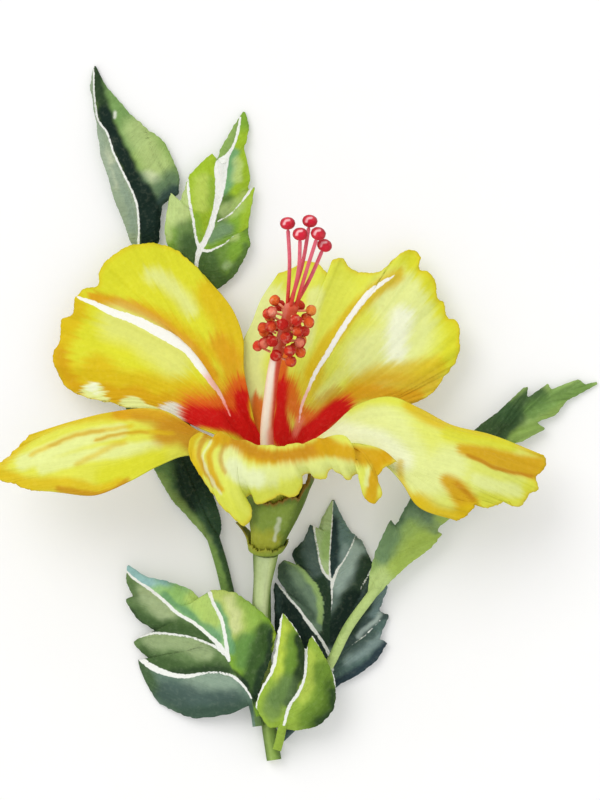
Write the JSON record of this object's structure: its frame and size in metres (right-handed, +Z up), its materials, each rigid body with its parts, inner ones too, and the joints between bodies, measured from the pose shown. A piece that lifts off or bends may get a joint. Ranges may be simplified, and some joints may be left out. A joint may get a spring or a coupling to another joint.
{
  "type": "hibiscus flower",
  "caption": "Picked hibiscus sprig lying down: an open yellow flower with a long stamen column, on a leafy cut shoot.",
  "frame": {"origin": "on the ground, under the middle of the sprig's box", "axes": "+Z up from the surface the sprig lies on, through the open flower; +Y along the sprig, from the cut end of the shoot to the tips of the upper leaves; +X to the right, seen from above"},
  "size_m": [0.1517, 0.1743, 0.0475],
  "materials": {
    "petal_yellow": "satin",
    "column_cream": "satin",
    "anther_red": "matte",
    "stigma_crimson": "matte",
    "calyx_green": "satin",
    "stalk_green": "satin",
    "leaf_green": "satin"
  },
  "bodies": {
    "root": {"petal_upper_left": "petal_yellow", "petal_upper_right": "petal_yellow", "petal_left": "petal_yellow", "petal_front": "petal_yellow", "petal_right": "petal_yellow", "staminal_column": "column_cream", "stamen_01": "anther_red", "stamen_02": "anther_red", "stamen_03": "anther_red", "stamen_04": "anther_red", "stamen_05": "anther_red", "stamen_06": "anther_red", "stamen_07": "anther_red", "stamen_08": "anther_red", "stamen_09": "anther_red", "stamen_10": "anther_red", "stamen_11": "anther_red", "stamen_12": "anther_red", "stamen_13": "anther_red", "stamen_14": "anther_red", "stamen_15": "anther_red", "stamen_16": "anther_red", "stamen_17": "anther_red", "stamen_18": "anther_red", "stamen_19": "anther_red", "stamen_20": "anther_red", "stamen_21": "anther_red", "stamen_22": "anther_red", "stamen_23": "anther_red", "stamen_24": "anther_red", "stamen_25": "anther_red", "stamen_26": "anther_red", "stamen_27": "anther_red", "stamen_28": "anther_red", "stamen_29": "anther_red", "stamen_30": "anther_red", "stamen_31": "anther_red", "stamen_32": "anther_red", "style_1": "stigma_crimson", "style_2": "stigma_crimson", "style_3": "stigma_crimson", "style_4": "stigma_crimson", "style_5": "stigma_crimson", "calyx": "calyx_green", "epicalyx": "calyx_green", "pedicel": "stalk_green", "main_stem": "stalk_green", "leaf_lower_left": "leaf_green", "leaf_lower_middle": "leaf_green", "leaf_lower_right": "leaf_green", "leaf_right": "leaf_green", "leaf_upper_left": "leaf_green", "leaf_upper_middle": "leaf_green", "leaf_left": "leaf_green"}
  },
  "joints": []
}
